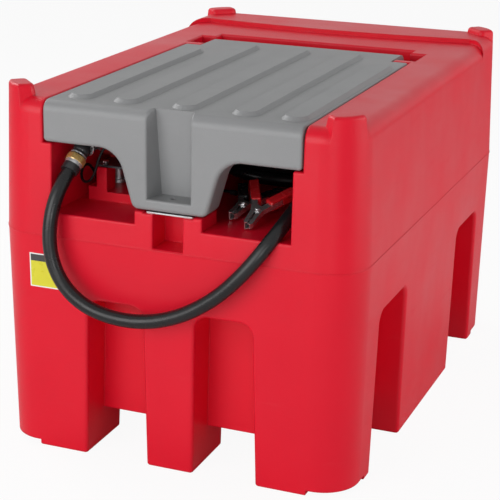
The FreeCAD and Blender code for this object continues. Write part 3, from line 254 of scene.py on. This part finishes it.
links.new(patches.outputs["Fac"], amount.inputs[1])
links.new(amount.outputs[0], strength.inputs[0])
links.new(entry.outputs["Amount"], strength.inputs[1])
links.new(strength.outputs[0], leave.inputs["Mask"])
print("shared groups:", [g.name for g in bpy.data.node_groups])

# %% [markdown]
# ## Finishes
# Every material starts the same way: a Principled shader whose colour and gloss
# drift a little with the waves and the scuffs, and whose normal carries the
# grain. What differs is colour, gloss, metal or not, and the size of the grain,
# so one helper takes those values for this tank's own finishes.

# %% A helper for finishes
def finish(name, colour, gloss, metal=0.0, grain=(500.0, 0.0002), wave=(7.0, 0.002), scuff=(9.0, 0.25), tone=0.12,
           worn=None, gloss_drift=0.10, shine=0.5, edge=0.0005):
    material = bpy.data.materials.new(name)
    material.use_nodes = True
    nodes, links = material.node_tree.nodes, material.node_tree.links
    shader = nodes["Principled BSDF"]
    shader.inputs["Metallic"].default_value = metal
    shader.inputs["Specular IOR Level"].default_value = shine
    surface = nodes.new("ShaderNodeGroup")
    surface.node_tree = grain_group
    surface.inputs["Grain Scale"].default_value = grain[0]
    surface.inputs["Grain Depth"].default_value = grain[1]
    surface.inputs["Wave Scale"].default_value = wave[0]
    surface.inputs["Wave Depth"].default_value = wave[1]
    surface.inputs["Edge Radius"].default_value = edge
    marks = nodes.new("ShaderNodeGroup")
    marks.node_tree = scuff_group
    marks.inputs["Scale"].default_value = scuff[0]
    marks.inputs["Amount"].default_value = scuff[1]
    drift = nodes.new("ShaderNodeMix")
    drift.data_type = "RGBA"
    drift.inputs["A"].default_value = (*[c * (1 - tone) for c in colour], 1.0)
    drift.inputs["B"].default_value = (*[min(1.0, c * (1 + tone)) for c in colour], 1.0)
    wear = nodes.new("ShaderNodeMix")
    wear.data_type = "RGBA"
    worn = worn or [min(1.0, c * 1.25 + 0.05) for c in colour]
    wear.inputs["B"].default_value = (*worn, 1.0)
    links.new(surface.outputs["Waves"], drift.inputs["Factor"])
    links.new(drift.outputs["Result"], wear.inputs["A"])
    links.new(marks.outputs["Mask"], wear.inputs["Factor"])
    links.new(wear.outputs["Result"], shader.inputs["Base Color"])
    dull = nodes.new("ShaderNodeMapRange")
    dull.inputs["From Min"].default_value = 0.3
    dull.inputs["From Max"].default_value = 0.7
    dull.inputs["To Min"].default_value = max(0.02, gloss - gloss_drift / 2)
    dull.inputs["To Max"].default_value = gloss + gloss_drift / 2
    rough = nodes.new("ShaderNodeMath")
    rough.operation = "ADD"
    links.new(surface.outputs["Waves"], dull.inputs["Value"])
    links.new(dull.outputs["Result"], rough.inputs[0])
    links.new(marks.outputs["Mask"], rough.inputs[1])
    links.new(rough.outputs[0], shader.inputs["Roughness"])
    links.new(surface.outputs["Normal"], shader.inputs["Normal"])
    return material


# %% Finishes of the moulded pieces
red_plastic = finish("red_plastic", (0.72, 0.003, 0.021), 0.36, grain=(420.0, 0.00035), wave=(5.0, 0.004),
                     scuff=(7.0, 0.14), tone=0.06, worn=(0.80, 0.08, 0.09), shine=0.30, edge=0.004)
grey_plastic = finish("grey_plastic", (0.255, 0.258, 0.262), 0.44, grain=(420.0, 0.00035), wave=(5.0, 0.003),
                      scuff=(7.0, 0.16), tone=0.06, worn=(0.36, 0.36, 0.37), edge=0.0012)
black_plastic = finish("black_plastic", (0.022, 0.022, 0.024), 0.42, grain=(900.0, 0.0001), wave=(20.0, 0.0006),
                       tone=0.2, worn=(0.08, 0.08, 0.08))
rocker_plastic = finish("rocker_plastic", (0.55, 0.02, 0.02), 0.25, grain=(1500.0, 0.00004), wave=(30.0, 0.0003))

# %% Finishes of the metal pieces
zinc_steel = finish("zinc_steel", (0.62, 0.63, 0.64), 0.30, metal=1.0, grain=(1800.0, 0.00004), wave=(40.0, 0.0002),
                    scuff=(40.0, 0.5), worn=(0.40, 0.39, 0.37))
clamp_steel = finish("clamp_steel", (0.66, 0.65, 0.66), 0.20, metal=0.88, grain=(1500.0, 0.00005), wave=(60.0, 0.0002),
                     scuff=(60.0, 0.6), worn=(0.55, 0.54, 0.52))
dark_zinc = finish("dark_zinc", (0.075, 0.075, 0.080), 0.34, metal=0.8, grain=(1800.0, 0.00004), wave=(40.0, 0.0002),
                   scuff=(40.0, 0.3), worn=(0.20, 0.20, 0.20))
chrome = finish("chrome", (0.78, 0.78, 0.79), 0.10, metal=1.0, grain=(2000.0, 0.00001), wave=(50.0, 0.0001),
                gloss_drift=0.04, tone=0.03)
brass = finish("brass", (0.85, 0.56, 0.20), 0.28, metal=0.7, grain=(1600.0, 0.00004), wave=(50.0, 0.0002),
               scuff=(50.0, 0.5), worn=(0.45, 0.29, 0.11))
cast_aluminium = finish("cast_aluminium", (0.52, 0.53, 0.54), 0.42, metal=1.0, grain=(900.0, 0.0002),
                        wave=(30.0, 0.0006), worn=(0.70, 0.70, 0.70))
# A darker aluminium for the nozzle body and spout: painted shade, so that the spout showing through the gap reads as
# dark as the shaded bay around it.
shade_dark_aluminium = finish("shade_dark_aluminium", (0.22, 0.225, 0.23), 0.50, metal=0.9, grain=(900.0, 0.0002),
                        wave=(30.0, 0.0006), worn=(0.40, 0.40, 0.40))
pump_enamel = finish("pump_enamel", (0.50, 0.03, 0.03), 0.30, grain=(1100.0, 0.0002), wave=(25.0, 0.0008))
cover_enamel = finish("cover_enamel", (0.30, 0.31, 0.32), 0.35, grain=(1100.0, 0.0002), wave=(25.0, 0.0008))
motor_enamel = finish("motor_enamel", (0.020, 0.020, 0.022), 0.32, grain=(1100.0, 0.0001), wave=(25.0, 0.0006),
                      worn=(0.10, 0.10, 0.10))
elbow_enamel = finish("elbow_enamel", (0.028, 0.028, 0.030), 0.24, grain=(1100.0, 0.0001), wave=(40.0, 0.0004),
                      worn=(0.20, 0.18, 0.14))

# %% Finishes of the hose, cables and grips
hose_rubber = finish("hose_rubber", (0.007, 0.007, 0.008), 0.28, grain=(1300.0, 0.00012), wave=(24.0, 0.0008),
                     scuff=(22.0, 0.35), tone=0.25, worn=(0.05, 0.05, 0.05), shine=0.4)
cable_rubber = finish("cable_rubber", (0.006, 0.006, 0.007), 0.42, grain=(2000.0, 0.00006), wave=(60.0, 0.0002),
                      tone=0.2, worn=(0.03, 0.03, 0.03), shine=0.3)
red_rubber = finish("red_rubber", (0.50, 0.012, 0.014), 0.36, grain=(2000.0, 0.00006), wave=(60.0, 0.0002))
red_vinyl = finish("red_vinyl", (0.62, 0.014, 0.020), 0.26, grain=(1500.0, 0.00004), wave=(70.0, 0.0004))
black_vinyl = finish("black_vinyl", (0.016, 0.016, 0.018), 0.28, grain=(1500.0, 0.00004), wave=(70.0, 0.0004),
                     worn=(0.06, 0.06, 0.06))
print("finishes:", len(bpy.data.materials))

# %% [markdown]
# ## Bright rings at the hose end
# The black elbow carries two plated rings and the sleeve on the hose ends in a
# plated band. Both lie round the hose's own direction, so the distance along it
# and the distance away from it are enough to mask them.

# %% Plated rings
hose_start = Vector((-0.229, -0.541, 0.630))
hose_way = (Vector((-0.235, -0.567, 0.606)) - hose_start).normalized()
plate_colour = (0.80, 0.80, 0.81, 1.0)
plate_metal = 0.7


def plated(material, low, high, outside):
    nodes, links = material.node_tree.nodes, material.node_tree.links
    shader = nodes["Principled BSDF"]
    spot = nodes.new("ShaderNodeTexCoord")
    arm = nodes.new("ShaderNodeVectorMath")
    arm.operation = "SUBTRACT"
    arm.inputs[1].default_value = hose_start
    along = nodes.new("ShaderNodeVectorMath")
    along.operation = "DOT_PRODUCT"
    along.inputs[1].default_value = hose_way
    aside = nodes.new("ShaderNodeVectorMath")
    aside.operation = "CROSS_PRODUCT"
    aside.inputs[1].default_value = hose_way
    away = nodes.new("ShaderNodeVectorMath")
    away.operation = "LENGTH"
    links.new(spot.outputs["Object"], arm.inputs[0])
    links.new(arm.outputs["Vector"], along.inputs[0])
    links.new(arm.outputs["Vector"], aside.inputs[0])
    links.new(aside.outputs["Vector"], away.inputs[0])
    mask = None
    for socket, operation, limit in ((along.outputs["Value"], "GREATER_THAN", low),
                                     (along.outputs["Value"], "LESS_THAN", high),
                                     (away.outputs["Value"], "GREATER_THAN", outside)):
        test = nodes.new("ShaderNodeMath")
        test.operation = operation
        test.inputs[1].default_value = limit
        links.new(socket, test.inputs[0])
        if mask is None:
            mask = test.outputs[0]
        else:
            both = nodes.new("ShaderNodeMath")
            both.operation = "MULTIPLY"
            links.new(mask, both.inputs[0])
            links.new(test.outputs[0], both.inputs[1])
            mask = both.outputs[0]
    tint = nodes.new("ShaderNodeMix")
    tint.data_type = "RGBA"
    tint.inputs["B"].default_value = plate_colour
    links.new(mask, tint.inputs["Factor"])
    links.new(shader.inputs["Base Color"].links[0].from_socket, tint.inputs["A"])
    links.new(tint.outputs["Result"], shader.inputs["Base Color"])
    metal = nodes.new("ShaderNodeMath")
    metal.operation = "MULTIPLY"
    metal.inputs[1].default_value = plate_metal
    links.new(mask, metal.inputs[0])
    links.new(metal.outputs[0], shader.inputs["Metallic"])


collar_low, collar_high, collar_inside = -0.0265, -0.0185, 0.0174
band_low, band_high, band_inside = -0.010, 0.003, 0.010
plated(elbow_enamel, collar_low, collar_high, collar_inside)
ferrule_enamel = finish("ferrule_enamel", (0.028, 0.028, 0.030), 0.24, grain=(1100.0, 0.0001), wave=(40.0, 0.0004),
                        worn=(0.20, 0.18, 0.14))
plated(ferrule_enamel, band_low, band_high, band_inside)

# %% [markdown]
# ## The plain sticker
# A thin square of film at the left of the front. It holds plain fields of colour
# only: a white edge, a dark band on top and a yellow field. Comparing the height
# and the width on the Object coordinates with a few limits paints the fields.

# %% Sticker finish
sticker_low, sticker_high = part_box("plain_sticker")
sticker_film = finish("sticker_film", (0.70, 0.65, 0.03), 0.30, grain=(1500.0, 0.00002), wave=(60.0, 0.0002), tone=0.04)
nodes, links = sticker_film.node_tree.nodes, sticker_film.node_tree.links
shader = nodes["Principled BSDF"]
yellow = shader.inputs["Base Color"].links[0].from_socket
place = nodes.new("ShaderNodeTexCoord")
split = nodes.new("ShaderNodeSeparateXYZ")
links.new(place.outputs["Object"], split.inputs["Vector"])


def above(socket, limit, flip=False):
    test = nodes.new("ShaderNodeMath")
    test.operation = "LESS_THAN" if flip else "GREATER_THAN"
    test.inputs[1].default_value = limit
    links.new(socket, test.inputs[0])
    return test.outputs[0]


def joined(first, second, operation):
    both = nodes.new("ShaderNodeMath")
    both.operation = operation
    links.new(first, both.inputs[0])
    links.new(second, both.inputs[1])
    return both.outputs[0]


def painted(under, mask, colour):
    field = nodes.new("ShaderNodeMix")
    field.data_type = "RGBA"
    field.inputs["B"].default_value = (*colour, 1.0)
    links.new(mask, field.inputs["Factor"])
    links.new(under, field.inputs["A"])
    return field.outputs["Result"]


edge = 0.0025
band_height = 0.017
dark_band = (0.05, 0.05, 0.05)
white_edge = (0.85, 0.85, 0.82)
band = above(split.outputs["Z"], sticker_high.z - band_height)
inner = joined(above(split.outputs["X"], sticker_low.x + edge), above(split.outputs["X"], sticker_high.x - edge, True),
               "MULTIPLY")
inner = joined(inner, above(split.outputs["Z"], sticker_low.z + edge), "MULTIPLY")
inner = joined(inner, above(split.outputs["Z"], sticker_high.z - edge, True), "MULTIPLY")
outer = nodes.new("ShaderNodeMath")
outer.operation = "SUBTRACT"
outer.inputs[0].default_value = 1.0
links.new(inner, outer.inputs[1])
fields = painted(yellow, band, dark_band)
fields = painted(fields, outer.outputs[0], white_edge)
links.new(fields, shader.inputs["Base Color"])

# %% [markdown]
# ## Dressing the solids
# Each solid of the model keeps its own shape and takes one of the finishes.

# %% Dress the solids
dressing = {
    "tank_body": red_plastic, "lid": grey_plastic, "hinge_pin_left": zinc_steel, "hinge_pin_right": zinc_steel,
    "hasp_plate": zinc_steel, "hasp_screws": zinc_steel, "plain_sticker": sticker_film, "pump_plate": dark_zinc,
    "pump_plate_bolts": zinc_steel, "pump_head": pump_enamel, "pump_cover": cover_enamel,
    "pump_cover_screws": zinc_steel, "motor_can": motor_enamel, "motor_cap": black_plastic,
    "motor_cradle": cast_aluminium, "switch_box": black_plastic, "switch_rocker": rocker_plastic,
    "cable_gland": black_plastic, "suction_flange": cast_aluminium, "suction_tube": cast_aluminium,
    "suction_flange_screws": zinc_steel, "foot_strainer": brass, "outlet_pipe": cast_aluminium,
    "outlet_ring": chrome, "outlet_elbow": elbow_enamel, "brass_coupling": brass, "hose_ferrule": ferrule_enamel,
    "cable_boot": black_plastic, "nozzle_ferrule": elbow_enamel, "nozzle_swivel": chrome,
    # The nozzle body and spout take the aluminium darkened as painted shade.
    "nozzle_body": shade_dark_aluminium, "trigger_pin": zinc_steel, "nozzle_trigger": black_plastic,
    "nozzle_guard": black_plastic, "nozzle_spout": shade_dark_aluminium, "filler_neck": black_plastic,
    "filler_cap": black_plastic, "cap_vent": chrome,
}
for colour, vinyl in (("red", red_vinyl), ("black", black_vinyl)):
    for end in ("arm_left", "arm_right", "rivet", "spring"):
        dressing[colour + "_clamp_" + end] = clamp_steel
    for end in ("grip_left", "grip_right"):
        dressing[colour + "_clamp_" + end] = vinyl
for node, material in dressing.items():
    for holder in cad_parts[node].material_slots:
        holder.material = material
print("dressed", len(dressing), "solids")

# %% [markdown]
# ## Hose and cables
# A hose is one smooth curve: a NURBS spline of order three whose control points
# are the points of its route, with a round bevel. Where it lies coiled, the turns
# are more points of the same spline, three layers deep, so that the whole length
# is really there under the lid.

# %% A helper for cords
def cord(name, route, radius, material, body):
    data = bpy.data.curves.new(name, "CURVE")
    data.dimensions = "3D"
    data.bevel_depth = radius
    data.bevel_resolution = 5
    data.resolution_u = 10
    data.use_fill_caps = True
    spline = data.splines.new("NURBS")
    spline.points.add(len(route) - 1)
    for point, spot in zip(spline.points, route):
        point.co = (spot[0] / 1000, spot[1] / 1000, spot[2] / 1000, 1.0)
    spline.order_u = 3
    spline.use_endpoint_u = True
    piece = bpy.data.objects.new(name, data)
    bpy.context.scene.collection.objects.link(piece)
    data.materials.append(material)
    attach(piece, body)
    return piece


def cord_length(piece):
    data = piece.data.copy()
    data.bevel_depth = 0.0
    bare = bpy.data.objects.new("bare_line", data)
    line = bpy.data.meshes.new_from_object(bare)
    spots = [v.co.copy() for v in line.vertices]
    bpy.data.objects.remove(bare)
    bpy.data.meshes.remove(line)
    return sum((b - a).length for a, b in zip(spots, spots[1:]))


# %% Hose
hose_route = [
    (-229, -541, 630), (-235, -567, 606), (-242, -591, 575), (-247, -606, 537), (-249, -613, 494), (-243, -617, 451),
    (-226, -619, 411), (-198, -620, 378), (-161, -620, 355), (-117, -620, 343), (-66, -619, 339), (-12, -618, 346),
    (40, -617, 364), (88, -615, 391), (131, -613, 424), (168, -609, 462), (198, -600, 500), (221, -581, 535),
    (235, -549, 561), (240, -506, 579), (242, -452, 590), (241, -392, 598), (239, -328, 604), (237, -266, 608),
    (236, -206, 608.5), (236.5, -150, 608.5), (237.5, -100, 608.5),
]
coil_centre = (76.0, -66.0)
coil_control = 162.5
coil_turns = 2.25
top_layer, layer_step = 608.5, 30.25
drop_starts, drop_turns = (0.25, 1.25), 0.75
steps = 16
for i in range(1, int(coil_turns * steps) + 1):
    angle = 2 * math.pi * i / steps
    drop = 0.0
    for drop_start in drop_starts:
        drop += layer_step * min(1.0, max(0.0, (i / steps - drop_start) / drop_turns))
    hose_route.append((coil_centre[0] + coil_control * math.cos(angle), coil_centre[1] + coil_control * math.sin(angle),
                       top_layer - drop))
hose_route += [
    (28, 96, 548), (-22, 94, 548.3), (-72, 91, 549.2), (-119, 78, 550.2), (-158, 52, 551), (-187, 17, 551.6),
    (-206, -24, 551.8), (-213, -62, 551.8), (-213, -98, 551.8),
]
hose_radius = 0.015
hose = cord("fuel_hose", hose_route, hose_radius, hose_rubber, "tank")
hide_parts("hose", "hose_coil")
hose_length = cord_length(hose)
print("hose", round(hose_length, 3), "m")

# %% Power cable
cable_route = [
    (-118, -406, 722), (-118, -423, 722), (-126, -441, 717), (-142, -457, 706), (-163, -470, 688), (-183, -477, 665),
    (-199, -480, 638), (-207, -481, 612), (-213, -481, 594), (-224, -481, 579), (-240, -478, 576), (-250, -469, 588),
    (-252, -456, 601), (-251, -441, 605), (-250.5, -424, 598), (-250.5, -409, 581), (-250.5, -395, 561),
    (-250.5, -379, 545), (-250.5, -358, 537.5), (-250.5, -334, 536.2), (-250.5, -311, 536.2), (-247, -293, 536.2),
    (-235, -280, 536.2), (-216, -275, 536.2), (-190, -279, 536.2), (-160, -282, 536.2),
]
ring_centre = (-130.0, -240.0)
ring_wide, ring_tight = 42.0, 24.0
ring_floor, ring_layer_step = 536.2, 6.1
ring_layers, layer_turns, climb_turns = 4, 3.0, 0.25
ring_steps = 12
for i in range(0, int(ring_layers * layer_turns) * ring_steps + 1):
    turns = i / ring_steps
    layer, within = divmod(turns, layer_turns)
    if layer > ring_layers - 1:
        layer, within = ring_layers - 1, layer_turns
    share = within / layer_turns
    radius = ring_wide + (ring_tight - ring_wide) * (share if layer % 2 == 0 else 1 - share)
    lift = max(0.0, (within - layer_turns + climb_turns) / climb_turns) if layer < ring_layers - 1 else 0.0
    angle = 2 * math.pi * turns - math.pi / 2
    cable_route.append((ring_centre[0] + radius * math.cos(angle), ring_centre[1] + radius * math.sin(angle),
                        ring_floor + ring_layer_step * (layer + lift)))
cable_route += [(-106, -281, 551), (-83, -279, 543), (-56, -280, 538), (-28, -286, 537), (-2, -292, 537.5),
                (22, -299, 538.5)]
cable_radius = 0.003
cable = cord("power_cord", cable_route, cable_radius, cable_rubber, "tank")
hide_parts("power_cable", "cable_coil", "cable_tail")
cable_length = cord_length(cable)
print("power cable", round(cable_length, 3), "m")

# %% Leads of the clamps
red_route = [(36, -300.2, 538.5), (50, -302, 541), (64, -305, 548), (77, -311, 558), (88, -321, 570), (97, -335, 581),
             (103, -351, 589), (107, -370, 594), (109.4, -393.6, 595.4)]
black_route = [(34.8, -305.4, 538.5), (43, -308, 540), (51, -312, 545), (57, -318.5, 552), (60.5, -326, 560),
               (62, -334, 566)]
lead_radius = 0.0025
for name, route, material, node, start in (
        ("red_lead_cord", red_route, red_rubber, "red_lead", (0.036, -0.3002, 0.5385)),
        ("black_lead_cord", black_route, cable_rubber, "black_lead", (0.0348, -0.3054, 0.5385))):
    lead = cord(name, route, lead_radius, material, "tank")
    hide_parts(node)
    lead_length = cord_length(lead)
    print(name, round(lead_length, 3), "m")
